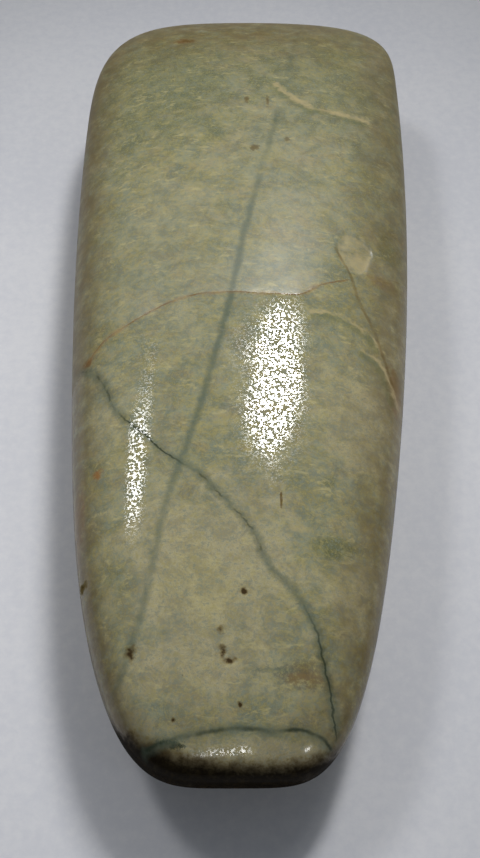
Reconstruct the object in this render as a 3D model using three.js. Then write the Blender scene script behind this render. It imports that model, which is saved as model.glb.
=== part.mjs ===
// A polished jadeite axe head (a celt), ground from one cobble and lying on its broad face.
// Millimetres, +Z up. +X runs across the width, +Y along the length towards the cutting edge.
// The origin is under the middle of the box, on the surface that the stone rests on.
import * as THREE from 'three';

// Driving dimensions
const LENGTH = 276.4;
const HALF_WIDTH = { butt: 39.6, middle: 48.0, blade: 50.7 };   // at the three stations below
const MIDLINE = { butt: -2.0, middle: 0, blade: 1.55 };         // sideways drift of the centre line
const BUTT_STATION = -80;
const BLADE_STATION = 110;
const EDGE_DEPTH = { left: 68, right: 33.6 };      // length over which the blade end closes in,
const EDGE_POWER = 4.45;                           // as a superellipse with rounded corners
const EDGE_BOW = 4.3;                              // how much further the edge bows forward
const BUTT_DEPTH = 97.4;                           // length over which the butt end closes in
const BUTT_POWER = { left: 3.66, right: 5.4 };     // higher is squarer: the left corner is rounder
const EQUATOR_HEIGHT = 23.6;                       // height of the widest line above the rest plane
const EQUATOR_CLIMB = 0.03;                        // its rise for each millimetre towards the edge
const TOP_RISE = { butt: 17.6, middle: 21.0, blade: 14.2 };     // upper face above the widest line
const UNDER_RISE = { butt: 15.0, middle: 24.8, blade: 17.4 };   // lower face below it
const RISE_STATION = 100;
const BUTT_FALL = 5.6;                             // extra fall of the upper face at the butt,
const FALL_START = 50;                             // starting this far behind the middle
const RIDGE_REACH = { butt: 0.85, blade: 0.62 };   // the ridge's two ends, as shares of LENGTH / 2
const CROWN_SHIFT = { top: -10, under: 0 };        // the ridge lies this far beside the centre line
const SIDE_ROUND = { inner: 2.0, outer: 2.0 };     // powers of the swelling profile at the sides,
const EDGE_ROUND = { inner: 1.9, outer: 1.4 };     // at the cutting edge
const BUTT_ROUND = { inner: 3.2, outer: 2.9 };     // and at the butt
const BLADE_CORNER = { from: 0.04, to: 0.32 };     // where along a side the edge's profile fades out
const BUTT_CORNER = { from: 0.55, to: 0.95 };      // and the butt's fades in
const FACET_START = 8.5;                           // the butt's upper facet starts this far from the end
const FACET_TILT = 0.42;                           // its fall for each millimetre towards the butt
const FACET_LEAN = 0.03;                           // its fall for each millimetre towards the left
const FACET_BLEND = 0.6;

const STEPS_ALONG = 60;      // along each side, from the cutting edge to the butt
const STEPS_ACROSS = 16;     // from the ridge out to the widest line
const OUTLINE_SAMPLES = 400;

const HALF_LENGTH = LENGTH / 2;

// A curve through three named values, at stations a, 0 and b.
function throughThree(values, a, b, y) {
  const [first, second, third] = values;
  const slopeA = (first - second) / a;
  const slopeB = (third - second) / b;
  const bend = (slopeB - slopeA) / (b - a);
  return second + y * (slopeA - bend * a) + bend * y * y;
}

function alongBody(sizes, y) {
  return throughThree([sizes.butt, sizes.middle, sizes.blade], BUTT_STATION, BLADE_STATION, y);
}

function riseAt(sizes, y) {
  return throughThree([sizes.butt, sizes.middle, sizes.blade], -RISE_STATION, RISE_STATION, y);
}

// The upper face's height above the widest line, along its ridge.
function topRise(y) {
  const fall = THREE.MathUtils.clamp((-y - FALL_START) / (HALF_LENGTH - FALL_START), 0, 1);
  return riseAt(TOP_RISE, y) - BUTT_FALL * fall * fall;
}

function smoothStep(from, to, value) {
  const t = THREE.MathUtils.clamp((value - from) / (to - from), 0, 1);
  return t * t * (3 - 2 * t);
}

// One side of the plan outline, from the tip of the cutting edge to the end of the butt:
// a superelliptic edge arc with its corner, the long convex side, and the superelliptic butt.
function outlineSide(side) {
  const sign = side === 'right' ? 1 : -1;
  const edgeDepth = EDGE_DEPTH[side];
  const buttPower = BUTT_POWER[side];
  const sideStart = HALF_LENGTH - edgeDepth - EDGE_BOW;
  const sideEnd = BUTT_DEPTH - HALF_LENGTH;
  const rows = [];
  for (let i = 0; i <= OUTLINE_SAMPLES; i += 1) {
    const turn = (i / OUTLINE_SAMPLES) * (Math.PI / 2);
    const share = Math.sin(turn) ** (2 / EDGE_POWER);
    const forward = edgeDepth * Math.max(Math.cos(turn), 0) ** (2 / EDGE_POWER);
    rows.push([sideStart + forward + EDGE_BOW * (1 - share * share), share]);
  }
  for (let i = 1; i < OUTLINE_SAMPLES; i += 1) {
    rows.push([sideStart + (sideEnd - sideStart) * (i / OUTLINE_SAMPLES), 1]);
  }
  for (let i = 0; i <= OUTLINE_SAMPLES; i += 1) {
    const turn = (i / OUTLINE_SAMPLES) * (Math.PI / 2);
    const y = sideEnd - BUTT_DEPTH * Math.sin(turn) ** (2 / buttPower);
    rows.push([y, Math.max(Math.cos(turn), 0) ** (2 / buttPower)]);
  }
  return rows.map(([y, share]) => [
    alongBody(MIDLINE, y) + sign * share * alongBody(HALF_WIDTH, y),
    y,
  ]);
}

// The same side at even steps of its length.
function evenSteps(points, count) {
  const lengths = [0];
  for (let i = 1; i < points.length; i += 1) {
    lengths.push(lengths[i - 1]
      + Math.hypot(points[i][0] - points[i - 1][0], points[i][1] - points[i - 1][1]));
  }
  const total = lengths[lengths.length - 1];
  const result = [];
  let at = 0;
  for (let i = 0; i <= count; i += 1) {
    const target = (total * i) / count;
    while (at < points.length - 2 && lengths[at + 1] < target) at += 1;
    const share = (target - lengths[at]) / (lengths[at + 1] - lengths[at]);
    const [fromX, fromY] = points[at];
    const [toX, toY] = points[at + 1];
    result.push([fromX + share * (toX - fromX), fromY + share * (toY - fromY)]);
  }
  return result;
}

const rightSide = evenSteps(outlineSide('right'), STEPS_ALONG);
const leftSide = evenSteps(outlineSide('left'), STEPS_ALONG);
const outline = [...rightSide, ...leftSide.slice(1, -1).reverse()];
const LOOP = outline.length;
const outlineX = outline.map(([x]) => x);
const CENTRE_SHIFT = -(Math.max(...outlineX) + Math.min(...outlineX)) / 2;

// The ridge point that outline point j swells from, on one of the two faces.
function ridgePoint(j, shift) {
  const middle = (RIDGE_REACH.blade - RIDGE_REACH.butt) / 2;
  const half = (RIDGE_REACH.blade + RIDGE_REACH.butt) / 2;
  const y = HALF_LENGTH * (middle + half * Math.cos((Math.PI * j) / STEPS_ALONG));
  return [alongBody(MIDLINE, y) + shift, y];
}

// How far outline point j belongs to an end: +1 at the cutting edge, -1 at the butt, 0 on a side.
function endShare(j) {
  const along = Math.min(j, LOOP - j) / STEPS_ALONG;
  return 1 - smoothStep(BLADE_CORNER.from, BLADE_CORNER.to, along)
    - smoothStep(BUTT_CORNER.from, BUTT_CORNER.to, along);
}

// How much of its ridge height a face keeps at share r of the way out to the outline.
function swelling(share, r) {
  const end = share > 0 ? EDGE_ROUND : BUTT_ROUND;
  const mix = (key) => SIDE_ROUND[key] + (end[key] - SIDE_ROUND[key]) * Math.abs(share);
  return Math.max(1 - r ** mix('inner'), 0) ** (1 / mix('outer'));
}

// The plane of the butt's upper facet, above the widest line.
const facetShare = (1 - FACET_START / HALF_LENGTH - RIDGE_REACH.butt) / (1 - RIDGE_REACH.butt);
const facetRise = topRise(FACET_START - HALF_LENGTH) * swelling(-1, facetShare);
function facetHeight(x, y) {
  return facetRise + FACET_TILT * (y + HALF_LENGTH - FACET_START) + FACET_LEAN * x;
}

function smoothLower(a, b) {
  const half = (a - b) / 2;
  return (a + b) / 2 - Math.sqrt(half * half + FACET_BLEND * FACET_BLEND / 4);
}

function facePoint(j, r, isTop) {
  const [outX, outY] = outline[j];
  const [ridgeX, ridgeY] = ridgePoint(j, isTop ? CROWN_SHIFT.top : CROWN_SHIFT.under);
  const x = ridgeX + r * (outX - ridgeX);
  const y = ridgeY + r * (outY - ridgeY);
  const fall = swelling(endShare(j), r);
  const equator = EQUATOR_HEIGHT + EQUATOR_CLIMB * y;
  if (isTop) {
    const body = topRise(y) * fall;
    const nearButt = y < -HALF_LENGTH / 2 && r < 1;
    const rise = nearButt ? Math.max(smoothLower(body, facetHeight(x, y)), 0) : body;
    return [x + CENTRE_SHIFT, y, equator + rise];
  }
  const low = equator - riseAt(UNDER_RISE, y) * fall;
  return [x + CENTRE_SHIFT, y, Math.max(low, 0)];
}

// Rings from the ridge out to the widest line, on both faces, sharing the widest line.
function axeHeadGeometry() {
  const vertices = [];
  const add = (point) => vertices.push(point) - 1;
  const ringShare = (k) => Math.sin((k / STEPS_ACROSS) * (Math.PI / 2));
  const widest = outline.map((_, j) => add(facePoint(j, 1, true)));
  const triangles = [];
  for (const isTop of [true, false]) {
    const ridge = [];
    for (let j = 0; j <= STEPS_ALONG; j += 1) ridge.push(add(facePoint(j, 0, isTop)));
    let inner = outline.map((_, j) => ridge[Math.min(j, LOOP - j)]);
    for (let k = 1; k <= STEPS_ACROSS; k += 1) {
      const outer = k === STEPS_ACROSS
        ? widest
        : outline.map((_, j) => add(facePoint(j, ringShare(k), isTop)));
      for (let j = 0; j < LOOP; j += 1) {
        const next = (j + 1) % LOOP;
        const quad = [inner[j], outer[j], outer[next], inner[next]];
        if (isTop) quad.reverse();
        triangles.push([quad[0], quad[1], quad[2]], [quad[0], quad[2], quad[3]]);
      }
      inner = outer;
    }
  }
  const geometry = new THREE.BufferGeometry();
  geometry.setAttribute('position', new THREE.Float32BufferAttribute(vertices.flat(), 3));
  geometry.setIndex(triangles.flat());
  geometry.computeVertexNormals();
  return geometry;
}

const jadeite = new THREE.MeshStandardMaterial({ color: 0x8d8c74, roughness: 0.32, metalness: 0 });
const axeHead = new THREE.Mesh(axeHeadGeometry(), jadeite);
axeHead.name = 'axe_head';

const part = new THREE.Group();
part.add(axeHead);

export default part;
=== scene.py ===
"""A polished jadeite axe head, lying on its broad face under soft studio light."""

import math

import bpy
import mathutils
import numpy as np
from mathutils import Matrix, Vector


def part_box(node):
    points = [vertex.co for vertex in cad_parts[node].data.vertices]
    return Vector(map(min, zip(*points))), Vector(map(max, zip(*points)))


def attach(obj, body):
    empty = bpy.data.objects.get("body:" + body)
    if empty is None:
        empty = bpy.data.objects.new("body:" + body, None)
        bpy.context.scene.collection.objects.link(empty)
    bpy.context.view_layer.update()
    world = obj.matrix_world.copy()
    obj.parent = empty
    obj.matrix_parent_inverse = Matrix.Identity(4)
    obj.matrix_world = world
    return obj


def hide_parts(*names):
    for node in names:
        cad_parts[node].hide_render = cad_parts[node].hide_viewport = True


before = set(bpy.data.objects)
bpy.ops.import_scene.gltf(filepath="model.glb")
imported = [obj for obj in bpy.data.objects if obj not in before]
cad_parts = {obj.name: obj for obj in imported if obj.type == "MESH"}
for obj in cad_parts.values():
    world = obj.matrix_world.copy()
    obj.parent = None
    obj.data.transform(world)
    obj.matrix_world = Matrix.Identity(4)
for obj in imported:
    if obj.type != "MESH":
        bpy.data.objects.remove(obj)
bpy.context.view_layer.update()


# ------------------------------------------------------------------ the axe head
# One cobble of grey-green jadeite, pecked to shape, ground and polished all over: a broad
# convex body, a curved cutting edge at +Y and a narrow rounded butt at -Y. It is a single
# solid with nothing fixed to it, and it lies on the flat that its underside is worn to.
MM = 0.001
stone_low, stone_high = (np.array(corner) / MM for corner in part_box("axe_head"))
LENGTH = stone_high[1] - stone_low[1]
HALF_LENGTH = LENGTH / 2

# Sizes in millimetres, each triple at the butt, the middle and the blade.
HALF_WIDTH = (39.6, 48.0, 50.7)
MIDLINE = (-2.0, 0.0, 1.55)
WIDTH_STATIONS = (-80.0, 110.0)
TOP_RISE = (17.6, 21.0, 14.2)
UNDER_RISE = (15.0, 24.8, 17.4)
RISE_STATIONS = (-100.0, 100.0)
EDGE_DEPTH = {"right": 33.6, "left": 68.0}
EDGE_POWER = 4.45
EDGE_BOW = 4.3
BUTT_DEPTH = 97.4
BUTT_POWER = {"right": 5.4, "left": 3.66}
EQUATOR_HEIGHT = 23.6
EQUATOR_CLIMB = 0.03
BUTT_FALL = 5.6
FALL_START = 50.0
RIDGE_REACH = {"butt": 0.85, "blade": 0.62}
CROWN_SHIFT = -10.0
SIDE_ROUND = (2.0, 2.0)
EDGE_ROUND = (1.9, 1.4)
BUTT_ROUND = (3.2, 2.9)
BLADE_CORNER = (0.04, 0.32)
BUTT_CORNER = (0.55, 0.95)
FACET_START = 8.5
FACET_TILT = 0.42
FACET_LEAN = 0.03
FACET_BLEND = 0.6

STEPS_ALONG = 300
RINGS_TOP = 96
RINGS_UNDER = 54
OUTLINE_SAMPLES = 3000
WAVES = 12


def through_three(values, stations, y):
    """The parabola through three values, which stand at stations[0], 0 and stations[1]."""
    first, second, third = values
    low, high = stations
    slope_low = (first - second) / low
    slope_high = (third - second) / high
    bend = (slope_high - slope_low) / (high - low)
    return second + y * (slope_low - bend * low) + bend * y * y


def smooth_step(low, high, value):
    """0 below low, 1 above high, and 3t^2 - 2t^3 between them."""
    t = np.clip((value - low) / (high - low), 0, 1)
    return t * t * (3 - 2 * t)


def outline_side(side):
    """One side of the plan, from the tip of the cutting edge to the end of the butt. The edge
    arc and the butt are superellipses, |u|^p + |v|^p = 1, the edge bows forward by
    EDGE_BOW (1 - u^2), and the body between them follows the half width. The points come
    out at even steps of the side's length."""
    sign = 1 if side == "right" else -1
    turn = np.linspace(0, math.pi / 2, OUTLINE_SAMPLES + 1)
    sine, cosine = np.sin(turn), np.clip(np.cos(turn), 0, 1)
    edge_start = HALF_LENGTH - EDGE_DEPTH[side] - EDGE_BOW
    butt_start = BUTT_DEPTH - HALF_LENGTH
    edge_share = sine ** (2 / EDGE_POWER)
    edge_y = edge_start + EDGE_DEPTH[side] * cosine ** (2 / EDGE_POWER)
    edge_y += EDGE_BOW * (1 - edge_share**2)
    body_y = np.linspace(edge_start, butt_start, OUTLINE_SAMPLES + 1)[1:-1]
    butt_share = cosine ** (2 / BUTT_POWER[side])
    butt_y = butt_start - BUTT_DEPTH * sine ** (2 / BUTT_POWER[side])
    y = np.concatenate([edge_y, body_y, butt_y])
    share = np.concatenate([edge_share, np.ones_like(body_y), butt_share])
    x = through_three(MIDLINE, WIDTH_STATIONS, y)
    x = x + sign * share * through_three(HALF_WIDTH, WIDTH_STATIONS, y)
    length = np.concatenate([[0], np.cumsum(np.hypot(np.diff(x), np.diff(y)))])
    even = np.linspace(0, length[-1], STEPS_ALONG + 1)
    return np.stack([np.interp(even, length, x), np.interp(even, length, y)], axis=1)


outline = np.concatenate([outline_side("right"), outline_side("left")[1:-1][::-1]])
LOOP = len(outline)
centre_shift = -(outline[:, 0].max() + outline[:, 0].min()) / 2
step_number = np.arange(LOOP)
along_side = np.minimum(step_number, LOOP - step_number) / STEPS_ALONG
end_share = 1 - smooth_step(*BLADE_CORNER, along_side) - smooth_step(*BUTT_CORNER, along_side)
end_round = np.where(end_share[:, None] > 0, EDGE_ROUND, BUTT_ROUND)
swelling = SIDE_ROUND + (end_round - SIDE_ROUND) * np.abs(end_share)[:, None]


def top_rise(y):
    """The upper face's ridge above the widest line: a parabola, less a fall towards the butt."""
    fall = np.clip((-y - FALL_START) / (HALF_LENGTH - FALL_START), 0, 1)
    return through_three(TOP_RISE, RISE_STATIONS, y) - BUTT_FALL * fall**2


def ripples(x, y, size, seed):
    """Uneven ground about 1 high: sine waves of wavelengths near size, turned all ways."""
    random = np.random.default_rng(seed)
    total = np.zeros_like(x)
    for angle, stretch, phase in random.random((WAVES, 3)):
        turn = 2 * math.pi * angle
        wave = 2 * math.pi / (size * (0.7 + 0.8 * stretch))
        total += np.sin(wave * (x * math.cos(turn) + y * math.sin(turn)) + 2 * math.pi * phase)
    return total / math.sqrt(WAVES / 2)


def smooth_path(points, pieces=8):
    """A Catmull-Rom curve through the points, which are (x, y) in millimetres."""
    points = np.asarray(points, float)
    ends = np.concatenate([2 * points[:1] - points[1:2], points, 2 * points[-1:] - points[-2:-1]])
    t = np.linspace(0, 1, pieces, endpoint=False)[:, None]
    spans = [
        0.5 * (2 * b + (c - a) * t + (2 * a - 5 * b + 4 * c - d) * t**2
               + (3 * b - a - 3 * c + d) * t**3)
        for a, b, c, d in zip(ends, ends[1:], ends[2:], ends[3:])
    ]
    return np.concatenate([*spans, points[-1:]])


def beside(points, x, y):
    """How far each (x, y) lies to the left of the curve through the points, negative on its
    right, and how far along the curve its nearest place is, from 0 to 1."""
    path = smooth_path(points)
    steps = np.diff(path, axis=0)
    lengths = np.hypot(*steps.T)
    travelled = np.concatenate([[0], np.cumsum(lengths)])
    nearest = np.full(x.shape, np.inf)
    side = np.zeros(x.shape)
    along = np.zeros(x.shape)
    for (from_x, from_y), (dx, dy), length, start in zip(path, steps, lengths, travelled):
        share = np.clip(((x - from_x) * dx + (y - from_y) * dy) / length**2, 0, 1)
        off_x = x - from_x - share * dx
        off_y = y - from_y - share * dy
        gap = np.hypot(off_x, off_y)
        nearer = gap < nearest
        nearest = np.where(nearer, gap, nearest)
        side = np.where(nearer, np.sign(dx * off_y - dy * off_x), side)
        along = np.where(nearer, start + share * length, along)
    return side * nearest, along / travelled[-1]


# The lines in the stone, as (x, y) in millimetres: a soft vein that runs through it from end
# to end, cracks that have healed or stained, and the lips of shallow scars.
LINES = {
    "vein": [(18, 126), (15, 100), (9, 64), (1, 22), (-4, -10), (-9, -35), (-14, -56),
             (-19, -73), (-23, -96), (-28, -115), (-33, -124)],
    "rust crack": [(-43, -26), (-38, -20.5), (-32, -17.5), (-23, -13), (-14, -9.5),
                   (-4, -8), (6, -7.8), (15, -7), (20, -3), (25, -0.2), (30, 2)],
    "green crack": [(-47, -25.5), (-43, -28), (-38, -34), (-33, -46), (-27, -53), (-20, -61),
                    (-12, -66.5), (-4, -75), (1.5, -82), (6, -91.5), (11.5, -97.5),
                    (16, -105.5), (18.2, -114.5), (19.6, -123), (20.8, -131)],
    "butt vein": [(-24, -133), (-18, -131.2), (-11, -129.8), (-2, -128.8), (6, -129.3),
                  (12, -128.7), (17, -129.8), (20, -132)],
    "upper scar": [(9, 88), (14.6, 81), (20.5, 76.5), (29, 75), (40, 74.2)],
    "near scar": [(17, -13), (24, -12), (31, -14.4), (35, -16.5), (37.5, -21)],
    "side scar": [(31, -22.4), (36.5, -24.7), (39.2, -31), (41, -37)],
    "scar seam": [(25.4, 14), (29.5, 4.5), (31.6, -5), (35, -13), (37.4, -21), (40, -31)],
    "flake": [(26.4, 15), (29, 19.6), (33.4, 18.4), (36.2, 15), (35.2, 9.6), (32.6, 5.6),
              (29.6, 5.4), (27, 8.6), (26.4, 15)],
}
# The scars, as name, depth, how far they run out from the lip, and the lip's unevenness.
SCARS = [("upper scar", 0.30, 6, 1.7), ("near scar", 0.35, 5, 1.1), ("side scar", 0.40, 4, 0.9)]
SEAM_DEPTH = 0.28
SEAM_REACH = 9.0
FLAKE_DEPTH = 0.5
# The grooves along the open cracks, as name, depth and half width.
GROOVES = [("rust crack", 0.10, 0.40), ("green crack", 0.05, 0.45)]
POLISHED_AWAY = 0.08
UNDER_UNEVENNESS = 0.12
# Pits in the polish, as x, y and radius, and their depth for each millimetre of radius.
PITS = [(-0.5, -97.5, 1.0), (-5.8, -107, 0.9), (-5.4, -112, 1.2), (-3.8, -113.8, 1.1),
        (-26.6, -112, 1.4), (-1.4, -123.8, 0.5), (-16.4, -127, 0.5), (-39.2, -92, 0.9)]
PIT_STEEPNESS = 0.35


def face(ridge_x, rings, is_top):
    """One face as rings from its ridge out to the widest line. Ring k stands at the share
    sin(k pi / 2 rings) of the way out, and the face rises by rise(y) (1 - share^p)^(1/q)."""
    reach_middle = (RIDGE_REACH["blade"] - RIDGE_REACH["butt"]) / 2
    reach_half = (RIDGE_REACH["blade"] + RIDGE_REACH["butt"]) / 2
    ridge_y = HALF_LENGTH * (reach_middle + reach_half * np.cos(math.pi * step_number / STEPS_ALONG))
    ridge_x = through_three(MIDLINE, WIDTH_STATIONS, ridge_y) + ridge_x
    out = np.sin(np.linspace(0, math.pi / 2, rings + 1))[:, None]
    x = ridge_x + out * (outline[:, 0] - ridge_x)
    y = ridge_y + out * (outline[:, 1] - ridge_y)
    inner, outer = swelling.T
    height = np.clip(1 - out**inner, 0, 1) ** (1 / outer)
    equator = EQUATOR_HEIGHT + EQUATOR_CLIMB * y
    if is_top:
        body = top_rise(y) * height
        facet_y = FACET_START - HALF_LENGTH
        start = (1 - FACET_START / HALF_LENGTH - RIDGE_REACH["butt"]) / (1 - RIDGE_REACH["butt"])
        facet = top_rise(facet_y) * (1 - start ** BUTT_ROUND[0]) ** (1 / BUTT_ROUND[1])
        facet = facet + FACET_TILT * (y - facet_y) + FACET_LEAN * x
        lower = (body + facet) / 2 - np.sqrt(((body - facet) / 2) ** 2 + FACET_BLEND**2 / 4)
        near_butt = (y < -HALF_LENGTH / 2) & (out < 1)
        z = equator + np.where(near_butt, np.maximum(lower, 0), body)
    else:
        z = np.maximum(equator - through_three(UNDER_RISE, RISE_STATIONS, y) * height, 0)
    return x + centre_shift, y, z, out + np.zeros_like(x)


def top_relief(x, y, out):
    """What time and the maker left on the upper face, as a height in millimetres: the slight
    unevenness of hand grinding, scars that are deepest at their lip and run out from it,
    a flaked patch with a flat floor, grooves along the open cracks, and pits. All of it
    fades out with 1 - out^8, so that the two faces meet at the widest line."""
    relief = 0.04 * ripples(x, y, 42, 3) + 0.012 * ripples(x, y, 13, 4)
    ragged = 0.5 * ripples(x, y, 5, 5) + 0.25 * ripples(x, y, 2.2, 6)
    for name, depth, reach, unevenness in SCARS:
        side, along = beside(LINES[name], x, y)
        side = side + unevenness * ragged
        present = smooth_step(0, 0.12, along) * (1 - smooth_step(0.85, 1, along))
        fall = smooth_step(-0.7, 0.7, side) * np.exp(-np.maximum(side, 0) / reach)
        relief -= depth * present * fall
    seam, along = beside(LINES["scar seam"], x, y)
    present = smooth_step(0, 0.1, along) * (1 - smooth_step(0.8, 1, along))
    fall = smooth_step(-0.6, 0.6, seam + 0.4 * ragged) * np.exp(-np.abs(seam) / SEAM_REACH)
    relief -= SEAM_DEPTH * present * fall
    outside, _ = beside(LINES["flake"], x, y)
    relief -= FLAKE_DEPTH * smooth_step(-0.45, 0.45, 0.5 * ragged - outside)
    for name, depth, half_width in GROOVES:
        side, along = beside(LINES[name], x, y)
        present = smooth_step(0, 0.05, along) * (1 - smooth_step(0.95, 1, along))
        relief -= depth * present * np.exp(-((side + 0.4 * ragged) / half_width) ** 2)
    for pit_x, pit_y, radius in PITS:
        gap = np.hypot(x - pit_x, y - pit_y) * (1 + 0.3 * ragged)
        relief -= PIT_STEEPNESS * radius * (1 - smooth_step(0.3, 1.3, gap / radius))
    return (relief - POLISHED_AWAY) * (1 - out**8)


top_x, top_y, top_z, top_out = face(CROWN_SHIFT, RINGS_TOP, True)
under_x, under_y, under_z, under_out = face(0, RINGS_UNDER, False)
top_z = top_z + top_relief(top_x, top_y, top_out)
under_lift = UNDER_UNEVENNESS * ripples(under_x, under_y, 38, 7) * (1 - under_out**8)
under_z = np.maximum(under_z + under_lift * smooth_step(0, 2, under_z), 0)


RIDGE_POINTS = STEPS_ALONG + 1
TOP_POINTS = RIDGE_POINTS + RINGS_TOP * LOOP
MAP_SPAN = 310.0


def cell_corners(grid, is_under):
    """The four corners of each cell between two rings, going round so that it faces outwards."""
    following = np.roll(grid, -1, axis=1)
    corners = [grid[:-1], grid[1:], following[1:], following[:-1]]
    if is_under:
        corners.reverse()
    return np.stack(corners, axis=2)


def stone_mesh():
    """Both faces as one closed skin. Each face's innermost ring is its ridge, whose points are
    shared by the two sides, and the outermost ring is shared by the two faces."""
    places = []
    for x, y, z, last in ((top_x, top_y, top_z, None), (under_x, under_y, under_z, -1)):
        grid = np.stack([x, y, z], axis=-1)
        places += [grid[0, :RIDGE_POINTS], grid[1:last].reshape(-1, 3)]
    rim = TOP_POINTS - LOOP + step_number
    fold = np.minimum(step_number, LOOP - step_number)
    top_rings = np.arange(RINGS_TOP * LOOP).reshape(-1, LOOP) + RIDGE_POINTS
    under_rings = np.arange((RINGS_UNDER - 1) * LOOP).reshape(-1, LOOP) + RIDGE_POINTS
    top = np.concatenate([fold[None], top_rings])
    under = np.concatenate([fold[None] + TOP_POINTS, under_rings + TOP_POINTS, rim[None]])
    quads = np.concatenate([cell_corners(top, False), cell_corners(under, True)])
    return np.concatenate(places) * MM, quads.reshape(-1, 4)


def unrolled(x, y, z, centre):
    """A flat map of one face: each point stands in its own direction from the ridge, at its
    distance over the surface. The whole square stands for MAP_SPAN millimetres."""
    way_x, way_y = x[-1] - x[0], y[-1] - y[0]
    planar = np.hypot(way_x, way_y)
    steps = np.sqrt(np.diff(x, axis=0) ** 2 + np.diff(y, axis=0) ** 2 + np.diff(z, axis=0) ** 2)
    distance = np.concatenate([np.zeros((1, LOOP)), np.cumsum(steps, axis=0)])
    u = x[0] + way_x / planar * distance
    v = y[0] + way_y / planar * distance
    return np.stack([centre + u / MAP_SPAN, 0.5 + v / MAP_SPAN], axis=-1)


places, quads = stone_mesh()
mesh = bpy.data.meshes.new("axe head")
mesh.vertices.add(len(places))
mesh.vertices.foreach_set("co", places.ravel())
mesh.loops.add(quads.size)
mesh.loops.foreach_set("vertex_index", quads.ravel())
mesh.polygons.add(len(quads))
mesh.polygons.foreach_set("loop_start", np.arange(0, quads.size, 4))
mesh.update(calc_edges=True)
mesh.validate()
mesh.shade_smooth()

face_maps = np.concatenate([
    cell_corners(unrolled(top_x, top_y, top_z, 0.25), False),
    cell_corners(unrolled(under_x, under_y, under_z, 0.75), True),
])
mesh.uv_layers.new(name="OFBake").uv.foreach_set("vector", face_maps.ravel())

x, y, z = (places / MM).T


def keep(name, values):
    """Stores one number for each point of the stone, which its material reads by name."""
    layer = mesh.attributes.new(name, "FLOAT", "POINT")
    layer.data.foreach_set("value", values.astype(np.float32))


is_top = np.arange(len(places)) < TOP_POINTS
outward = np.concatenate([
    np.zeros(RIDGE_POINTS), top_out[1:].ravel(),
    np.zeros(RIDGE_POINTS), under_out[1:-1].ravel(),
])
keep("outward", outward)
keep("upper", is_top * (1 - smooth_step(0.97, 1, outward)))
for name, points in LINES.items():
    side, along = beside(points, x, y)
    keep(name, side)
    keep(name + " along", along)

axe_head = bpy.data.objects.new("axe_head_fine", mesh)
bpy.context.scene.collection.objects.link(axe_head)


class Field:
    """One socket of the node tree in hand. Arithmetic on fields adds Math nodes to that tree."""

    tree = None

    def __init__(self, socket):
        self.socket = socket

    @classmethod
    def add(cls, kind, settings=None, inputs=None, output=0):
        """Adds a node, sets its settings, then gives its sockets their values or links."""
        node = cls.tree.nodes.new(kind)
        for name, value in (settings or {}).items():
            setattr(node, name, value)
        for name, value in (inputs or {}).items():
            if isinstance(value, Field):
                cls.tree.links.new(value.socket, node.inputs[name])
            else:
                node.inputs[name].default_value = value
        return cls(node.outputs[output] if node.outputs else None)

    def maths(self, operation, *values):
        operands = dict(enumerate((self, *values)))
        return Field.add("ShaderNodeMath", {"operation": operation}, operands)

    def __add__(self, other):
        return self.maths("ADD", other)

    def __mul__(self, other):
        return self.maths("MULTIPLY", other)

    def __sub__(self, other):
        return self.maths("SUBTRACT", other)

    def __rsub__(self, other):
        return self * -1 + other

    def __abs__(self):
        return self.maths("ABSOLUTE")

    __radd__ = __add__
    __rmul__ = __mul__

    def least(self, other):
        return self.maths("MINIMUM", other)

    def most(self, other):
        return self.maths("MAXIMUM", other)

    def between(self, low, high):
        """0 at low and 1 at high, eased at both ends; low may be the larger."""
        return Field.add(
            "ShaderNodeMapRange",
            {"interpolation_type": "SMOOTHSTEP"},
            {"Value": self, "From Min": low, "From Max": high},
        )


def blend(first, second, share):
    """A colour between two colours."""
    return Field.add(
        "ShaderNodeMix", {"data_type": "RGBA"}, {0: share, 6: first, 7: second}, output=2
    )


def turned(where, angle, stretch):
    """Places turned by an angle in degrees about +Z and then stretched."""
    return Field.add(
        "ShaderNodeMapping", None,
        {"Vector": where, "Rotation": (0, 0, math.radians(angle)), "Scale": stretch},
    )


def cloud(where, size, detail=3.0, rough=0.5, warp=0.0):
    """Noise from 0 to 1 whose lumps are about size millimetres across."""
    return Field.add(
        "ShaderNodeTexNoise", None,
        {"Vector": where, "Scale": 1 / size, "Detail": detail, "Roughness": rough,
         "Distortion": warp},
    )


def stored(name):
    """The number that was kept for each point under that name."""
    return Field.add("ShaderNodeAttribute", {"attribute_name": name}, output="Fac")


def vectors(operation, inputs, output="Vector"):
    """A Vector Math node of that operation."""
    return Field.add("ShaderNodeVectorMath", {"operation": operation}, inputs, output)


def millimetres():
    """The place on the piece in millimetres."""
    metres = Field.add("ShaderNodeTexCoord", output="Object")
    return vectors("SCALE", {0: metres, "Scale": 1 / MM})


jadeite = bpy.data.materials.new("jadeite")
jadeite.use_nodes = True
Field.tree = jadeite.node_tree
Field.tree.nodes.clear()

# The stone's colours, as linear red, green and blue.
COOL_GREY = (0.210, 0.232, 0.170, 1)
WARM_GREEN = (0.310, 0.278, 0.124, 1)
PALE_GREY = (0.330, 0.318, 0.222, 1)
WARM_GREY = (0.440, 0.385, 0.245, 1)
CREAM = (0.460, 0.405, 0.200, 1)
CLAY = (0.300, 0.222, 0.128, 1)
MOSS = (0.100, 0.118, 0.045, 1)
BLUE_GREEN = (0.092, 0.118, 0.085, 1)
DEEP_GREEN = (0.018, 0.028, 0.015, 1)
UMBER = (0.118, 0.074, 0.020, 1)
# The next colour is painted shade: the near black of the butt's steep end, where the lamps do not
# reach.
SHADE_BLACK = (0.008, 0.005, 0.002, 1)
RUST = (0.290, 0.120, 0.030, 1)
CRACK_BROWN = (0.180, 0.095, 0.035, 1)
TAN = (0.430, 0.350, 0.180, 1)
DARK_PIT = (0.035, 0.020, 0.008, 1)

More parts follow.
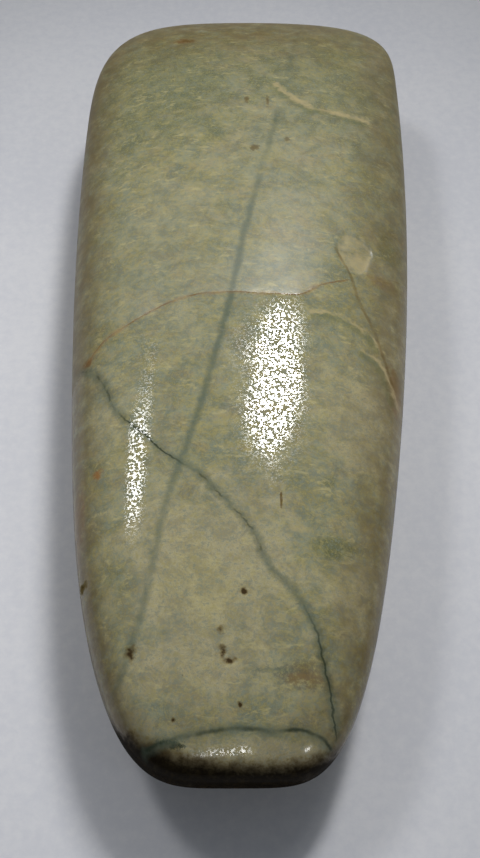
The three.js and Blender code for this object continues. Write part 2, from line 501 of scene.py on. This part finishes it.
# Patches that differ from the body, as centre, half width, half length, colour and strength.
PATCHES = [
    (-10, -92, 26, 26, WARM_GREY, 0.75),
    (-12, -116, 22, 10, WARM_GREY, 0.55),
    (30, -97, 12, 14, WARM_GREY, 0.45),
    (31, -46, 14, 20, WARM_GREY, 0.65),
    (42, -12, 6, 16, WARM_GREY, 0.6),
    (-24, -12, 14, 9, PALE_GREY, 0.4),
    (-36, -52, 6, 12, WARM_GREY, 0.4),
    (-10, -97, 10, 9, CREAM, 0.45),
    (-31, -98, 6, 12, MOSS, 0.35),
    (-24, 22, 16, 16, PALE_GREY, 0.35),
    # The next three moss-green patches darken the blade end: partly its own darker green, partly
    # painted shade where less light reaches it.
    (-26, 92, 34, 46, MOSS, 0.60),
    (40, 60, 9, 44, MOSS, 0.35),
    (26, 96, 30, 34, MOSS, 0.42),
    (22, -85, 8, 3.5, MOSS, 0.8),
    (21, -66.7, 2.5, 2, MOSS, 0.5),
    (42, 19, 4, 7, MOSS, 0.8),
    # The next patch lightens the butt's facet: partly its own paler tone, partly painted light.
    (2.5, -133.6, 18, 3.2, WARM_GREY, 0.85),
]
# Small stains and spots, given in the same way.
SPOTS = [
    (13, -116.5, 6.5, 3.5, UMBER, 0.45),
    (13, -117, 4.0, 2.0, CRACK_BROWN, 0.4),
    (13.5, -81, 3.0, 1.0, TAN, 0.4),
    (8, -116, 6.5, 0.8, BLUE_GREEN, 0.5),
    # The next three spots darken the left end of the butt's vein: partly the vein's dark green,
    # partly painted shade in a notch there.
    (-20.5, -132.6, 5.5, 2.0, DEEP_GREEN, 0.85),
    (-20.4, -133.0, 2.6, 1.2, DEEP_GREEN, 0.8),
    (-17.0, -131.9, 3.0, 0.9, DEEP_GREEN, 0.8),
    # The next two spots are painted highlights on the upper scar's lip, where it faces the right
    # lamp.
    (17.5, 79, 4.5, 1.3, TAN, 0.45),
    (27, 75.6, 8, 0.8, TAN, 0.35),
    (-37, -63.5, 1.3, 1.8, RUST, 0.8),
    (-42, -77, 2.2, 16, RUST, 0.5),
    (39, 5, 5, 3, RUST, 0.25),
    (40.5, -32, 2.5, 9, RUST, 0.45),
    (-20, 117.5, 3.6, 2.4, CRACK_BROWN, 0.9),
    (-19, 117.5, 2.0, 1.3, UMBER, 0.9),
    (8.7, -73.5, 0.35, 2.6, UMBER, 0.9),
    (-42.5, -25.5, 1.8, 1.5, CRACK_BROWN, 0.9),
    (0.8, 77.4, 0.8, 2.0, UMBER, 0.75),
    (7.3, 77, 0.6, 3.2, UMBER, 0.7),
    (3.1, 53, 1.6, 1.6, UMBER, 0.7),
    (13, 58, 1.0, 1.6, UMBER, 0.6),
]

place = millimetres()
along_x, along_y, along_z = (
    Field.add("ShaderNodeSeparateXYZ", None, {0: place}, output=axis) for axis in "XYZ"
)
upper = stored("upper")
outward_share = stored("outward")

# The body colour: cool grey and warm green mixed at every scale, paler and moss-green clouds,
# and short cream wisps that lie across the stone and climb a little to the right.
across = turned(place, -14, (0.7, 1, 1))
streaks = cloud(across, 5.5, 4, 0.62, 0.8)
wisps = cloud(turned(place, -14, (0.4, 1, 1)), 1.6, 4, 0.65, 0.8)
mottle = cloud(place, 7, 4, 0.6, 0.3)
warmth = cloud(across, 9, 5, 0.7, 0.5) * 0.35 + cloud(across, 2.6, 5, 0.8) * 0.65
colour = blend(COOL_GREY, WARM_GREEN, warmth.between(0.42, 0.58))
colour = blend(colour, PALE_GREY, cloud(place, 24, 6, 0.62, 0.4).between(0.44, 0.66) * 0.6)
colour = blend(colour, MOSS, cloud(across, 15, 6, 0.7, 0.6).between(0.50, 0.76) * 0.65)
colour = blend(colour, COOL_GREY, cloud(across, 20, 3, 0.6, 0.6).between(0.48, 0.62) * 0.55)


def line(name, width, waver, softness=0.5):
    """1 on a stored line of that half width, which wavers by the noise it is given."""
    off = abs(stored(name) + waver)
    along = stored(name + " along")
    ends = along.between(0.0, 0.03) * along.between(1.0, 0.97)
    return off.between(width, width * (1 - softness)) * ends


slow_waver = (cloud(place, 9, 2) - 0.5) * 4
fast_waver = (cloud(place, 1.8, 3) - 0.5) * 1.6


def patched(ground, spots, raggedness):
    """The ground colour with ragged oval spots laid over it."""
    for spot_x, spot_y, half_width, half_length, tone, strength in spots:
        off = vectors("SUBTRACT", {0: place, 1: (spot_x, spot_y, 0)})
        off = vectors("MULTIPLY", {0: off, 1: (1 / half_width, 1 / half_length, 0)})
        off = vectors("LENGTH", {0: off}, output="Value")
        inside = (off + raggedness).between(1.2, 0.4) * upper
        ground = blend(ground, tone, inside * strength)
    return ground


colour = blend(colour, CLAY, cloud(across, 7, 5, 0.72, 0.5).between(0.47, 0.62) * 0.38)
colour = patched(colour, PATCHES, (mottle - 0.5) * 2.2 + fast_waver * 0.2)
depth = cloud(place, 6.0, 6, 0.84, 0.5).between(0.39, 0.61)
colour = blend(blend(colour, DEEP_GREEN, 0.31), blend(colour, CREAM, 0.19), depth)
flecks = cloud(place, 1.1, 5, 0.9)
colour = blend(colour, COOL_GREY, flecks.between(0.50, 0.40) * 0.75)
colour = blend(colour, WARM_GREEN, flecks.between(0.50, 0.60) * 0.75)
colour = blend(colour, CREAM, wisps.between(0.50, 0.68) * streaks.between(0.42, 0.62) * 0.6)
vein = line("vein", 1.7, slow_waver * 0.25 + fast_waver * 0.5, 0.95)
broken = cloud(place, 8, 3, 0.6).between(0.36, 0.56).most(along_y.between(60, 20))
vein *= along_y.between(-110, -40).most(0.75) * along_y.between(110, 20).most(0.55) * broken
colour = blend(colour, BLUE_GREEN, vein * cloud(place, 13, 3).between(0.05, 0.5) * 0.70)
colour = patched(colour, SPOTS, (mottle - 0.5) * 0.8 + fast_waver * 0.7 + (flecks - 0.5) * 3.0)

# Iron has stained the sides, the cutting edge and the butt, and seeps in along the cracks. The brown
# laid along the sides and along the cutting edge's bevel is partly that stain and partly painted
# shade, where those surfaces turn away from the lamps. It is weaker on the right side and mostly
# left off the butt's facet.
near_rim = (outward_share + (cloud(place, 11, 4, 0.6) - 0.5) * 0.30).between(0.60, 1.02)
near_edge = (along_y + (mottle - 0.5) * 40).between(86, 134)
on_facet = along_y.between(-128.5, -132.5) * upper
stain_and_shade = near_rim.most(near_edge * 0.85) * (1 - on_facet * 0.75)
stain_and_shade_strength = along_x.most(0) * -0.004 + 0.8
colour = blend(colour, UMBER, stain_and_shade * cloud(place, 4, 4, 0.65).between(0.10, 0.62) * stain_and_shade_strength)
# Painted shade: the steep end below the butt's rim faces away from the lamps and is painted near
# black, mottled and fading out lower down. The brown band above it is partly the rim's own stain and
# partly painted shade.
below_rim = along_y * -0.8 + along_z * -0.6 + along_x * along_x * 0.005
below_rim = below_rim + along_x.least(0) * -0.10
below_rim = below_rim + (cloud(place, 2.2, 4, 0.7) - 0.5) * 6 + (mottle - 0.5) * 1.5
shade_fade_below = (along_z + (cloud(place, 6, 5, 0.65) - 0.5) * 22).between(1, 19)
painted_shade = below_rim.between(91.9, 96.4) * shade_fade_below
shade_mottle = cloud(place, 1.6, 4, 0.7).between(0.2, 0.6) * 0.14
colour = blend(colour, UMBER, below_rim.between(91.0, 95) * 0.75)
colour = blend(colour, SHADE_BLACK, painted_shade * (shade_mottle + 0.85))

green_crack = line("green crack", 0.36, slow_waver * 0.32 + fast_waver * 0.8, 0.7) * upper
green_halo = line("green crack", 2.0, slow_waver * 0.32 + fast_waver * 1.6, 0.95) * upper
butt_vein = line("butt vein", 0.75, fast_waver * 0.5, 0.95) * upper
butt_halo = line("butt vein", 2.2, fast_waver, 0.95) * upper
rust_crack = line("rust crack", 0.34, slow_waver * 0.25 + fast_waver * 0.55, 0.6) * upper
rust_halo = line("rust crack", 1.3, slow_waver * 0.25 + fast_waver, 0.9) * upper
fading = cloud(place, 6, 3, 0.6)
open_end = along_y.between(-96, -112)
hair = along_x.between(-34, -29) * along_x.between(-13, -20)
unfaded = (fading.between(0.55, 0.38) * 0.55).most(open_end * 0.8).most(hair * 0.9)
colour = blend(colour, BLUE_GREEN, green_halo.most(butt_halo) * fading.between(0.25, 0.6) * 0.6)
colour = blend(colour, DEEP_GREEN, green_halo * open_end.most(0.5) * fading.between(0.6, 0.35) * 0.6)
colour = blend(colour, DEEP_GREEN, green_crack * unfaded * 0.9)
colour = blend(colour, DEEP_GREEN, butt_vein * fading.between(0.72, 0.38) * 0.85)
colour = blend(colour, RUST, rust_halo * fading.between(0.35, 0.65) * 0.3)
colour = blend(colour, CRACK_BROWN, rust_crack * fading.between(0.65, 0.35) * 0.8)

# Painted light at each scar: a moss-green band of painted shade beside the lip, and a tan painted
# highlight along the lip itself.
for name, _, _, unevenness in SCARS:
    ragged = fast_waver * 1.6 * unevenness + slow_waver * 0.3
    colour = blend(colour, MOSS, (line(name, 2.2, ragged + 1.6, 0.9) * upper) * 0.35)
    lip = line(name, 1.2 * unevenness, ragged, 0.98) * upper
    colour = blend(colour, TAN, lip * fading.between(0.25, 0.6) * 0.75)
flake = (stored("flake") * -1 + fast_waver * 0.5).between(-0.3, 0.4) * upper
colour = blend(colour, TAN, flake * cloud(place, 3, 3).between(0.2, 0.7) * 0.6)
seam = line("scar seam", 0.8, fast_waver * 0.4, 0.8) * upper
colour = blend(colour, UMBER, seam * fading.between(0.2, 0.6) * 0.6)

flat_place = vectors("MULTIPLY", {0: place, 1: (1, 1, 0)})


def pit_at(pit_x, pit_y, radius):
    """1 in a pit, falling to 0 past its ragged rim."""
    gap = vectors("DISTANCE", {0: flat_place, 1: (pit_x, pit_y, 0)}, output="Value")
    return (gap * (1 / radius) + fast_waver * 2.0).between(1.8, 0.0) * upper


first_pit, *other_pits = PITS
pit_mask = pit_at(*first_pit)
for pit in other_pits:
    pit_mask = pit_mask.most(pit_at(*pit))
colour = blend(colour, UMBER, pit_mask.between(0.1, 0.7) * 0.6)
colour = blend(colour, DARK_PIT, pit_mask.between(0.6, 0.95) * 0.9)

# The polish: glossy, but broken everywhere by grains a fraction of a millimetre across that
# have been plucked out and stay matt. Beyond the rust crack the ground is less worn and duller.
GRAIN_HEIGHT = 0.35
GRAIN_SIZE = 0.62
JADEITE_IOR = 1.66
MATT_ROUGHNESS = 0.9
wear = cloud(place, 18, 3).between(0.35, 0.7)
beyond_crack = stored("rust crack").between(-0.2, 0.6)
plucked = cloud(place, GRAIN_SIZE, 2, 0.5).between(0.435, 0.485)
roughness = 0.10 + wear * 0.04 + beyond_crack * 0.18 + flake * 0.3 + stain_and_shade * 0.07
height = cloud(place, GRAIN_SIZE, 2) * 0.02 + cloud(place, 2.6, 3) * 0.03 + streaks * 0.03
bump = Field.add(
    "ShaderNodeBump", None, {"Strength": 1.0, "Distance": GRAIN_HEIGHT * MM, "Height": height}
)
polished = Field.add(
    "ShaderNodeBsdfPrincipled", None,
    {"Base Color": colour, "Roughness": roughness, "Normal": bump, "IOR": JADEITE_IOR},
)
matt = Field.add(
    "ShaderNodeBsdfPrincipled", None,
    {"Base Color": colour, "Roughness": MATT_ROUGHNESS, "Normal": bump,
     "Specular IOR Level": 0.0},
)
dull = beyond_crack * 0.72 + beyond_crack.between(0.9, 0.0) * plucked
dull = dull * near_rim.between(0.9, 0.1) + near_rim * 0.4
dull = dull.most(pit_mask.between(0.0, 0.3)).most(painted_shade * 0.9)
surface = Field.add("ShaderNodeMixShader", None, {0: dull, 1: polished, 2: matt})
Field.add("ShaderNodeOutputMaterial", None, {"Surface": surface})
mesh.materials.append(jadeite)

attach(axe_head, "root")
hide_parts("axe_head")


# ------------------------------------------------------------------ the floor
# A sheet of pale blue-grey paper, flat and very slightly mottled, which the stone lies on.
FLOOR_HALF = 6.0
DIM_PAPER = (0.56, 0.565, 0.60, 1)
BRIGHT_PAPER = (0.62, 0.62, 0.64, 1)
floor_mesh = bpy.data.meshes.new("floor")
floor_corners = [(-1, -1, 0), (1, -1, 0), (1, 1, 0), (-1, 1, 0)]
floor_mesh.from_pydata(np.array(floor_corners) * FLOOR_HALF, [], [(0, 1, 2, 3)])
floor = bpy.data.objects.new("floor", floor_mesh)
bpy.context.scene.collection.objects.link(floor)
paper = bpy.data.materials.new("paper")
paper.use_nodes = True
Field.tree = paper.node_tree
Field.tree.nodes.clear()
sheet_place = millimetres()
paper_cloud = cloud(sheet_place, 3.0, 4, 0.7) * 0.6 + cloud(sheet_place, 60, 2) * 0.4
paper_colour = blend(DIM_PAPER, BRIGHT_PAPER, paper_cloud.between(0.35, 0.65))
paper_surface = Field.add(
    "ShaderNodeBsdfPrincipled", None,
    {"Base Color": paper_colour, "Roughness": 0.85, "Specular IOR Level": 0.2},
)
Field.add("ShaderNodeOutputMaterial", None, {"Surface": paper_surface})
floor_mesh.materials.append(paper)


# ------------------------------------------------------------------ the light
# Two square-cornered lamps beyond the cutting edge, the right one stronger, each with a wide
# sheet of cloth before it that only softens the shadows; two slivers of light on the butt's
# side; and a dim grey room. Sizes and distances are in metres, powers in watts.
LAMP_AIM = (-0.04, -0.04, 0.0)
LAMP_DISTANCE = 1.2
LAMP_SPREAD = math.radians(32)
RIGHT_SLOPE = (0.310, 0.675)
RIGHT_WAY = (0.34, 0.47)
LEFT_SLOPE = (-0.525, 0.560)
LEFT_WAY = (-0.06, 0.54)
SHEET_SIZE = 0.6
ROOM_COLOUR = (0.85, 0.92, 1.0, 1)
ROOM_STRENGTH = 0.175


def lamp(name, slope, long_way, width, length, power):
    """A lamp in the direction (slope, 1) from its aim and facing it, its length lying along
    long_way as seen from above. A grid over it narrows its beam."""
    way = np.array([*slope, 1.0])
    way /= np.linalg.norm(way)
    long_side = np.array([*long_way, 0.0])
    long_side -= way * np.dot(way, long_side)
    long_side /= np.linalg.norm(long_side)
    light = bpy.data.lights.new(name, "AREA")
    light.shape = "RECTANGLE"
    light.size = width
    light.size_y = length
    light.energy = power
    light.spread = LAMP_SPREAD
    holder = bpy.data.objects.new(name, light)
    bpy.context.scene.collection.objects.link(holder)
    stance = np.eye(4)
    stance[:3, 0] = np.cross(long_side, way)
    stance[:3, 1] = long_side
    stance[:3, 2] = way
    stance[:3, 3] = np.array(LAMP_AIM) + way * LAMP_DISTANCE
    holder.matrix_world = mathutils.Matrix(stance)
    return holder


lamp("right lamp", RIGHT_SLOPE, RIGHT_WAY, 0.17, 0.275, 0.300)
lamp("left lamp", LEFT_SLOPE, LEFT_WAY, 0.20, 0.30, 0.125)
lamp("near sliver", (0.008, -0.76), (0, 1), 0.012, 0.14, 0.014)
lamp("near right sliver", (0.80, -0.76), (0, 1), 0.03, 0.06, 0.011)
right_sheet = lamp("right sheet", RIGHT_SLOPE, RIGHT_WAY, SHEET_SIZE, SHEET_SIZE, 0.170)
left_sheet = lamp("left sheet", LEFT_SLOPE, LEFT_WAY, SHEET_SIZE, SHEET_SIZE, 0.055)
right_sheet.visible_glossy = False
left_sheet.visible_glossy = False

room = bpy.data.worlds.new("room")
room.use_nodes = True
room_light = room.node_tree.nodes["Background"]
room_light.inputs["Color"].default_value = ROOM_COLOUR
room_light.inputs["Strength"].default_value = ROOM_STRENGTH
bpy.context.scene.world = room
bpy.context.scene.view_settings.view_transform = "Standard"


# ------------------------------------------------------------------ the camera
# Close over the butt, looking down along the stone towards its cutting edge.
CAMERA_ELEVATION = math.radians(52)
CAMERA_DISTANCE = 0.35056
CAMERA_TARGET = (-0.001365, -0.039406, 0.0236)
SENSOR_WIDTH = 36
LENS = 54.545
camera = bpy.data.cameras.new("camera")
camera.sensor_width = SENSOR_WIDTH
camera.lens = LENS
camera.clip_start = 0.01
camera_holder = bpy.data.objects.new("camera", camera)
bpy.context.scene.collection.objects.link(camera_holder)
camera_holder.location = (
    CAMERA_TARGET[0],
    CAMERA_TARGET[1] - CAMERA_DISTANCE * math.cos(CAMERA_ELEVATION),
    CAMERA_TARGET[2] + CAMERA_DISTANCE * math.sin(CAMERA_ELEVATION),
)
camera_holder.rotation_euler = (math.pi / 2 - CAMERA_ELEVATION, 0, 0)
bpy.context.scene.camera = camera_holder
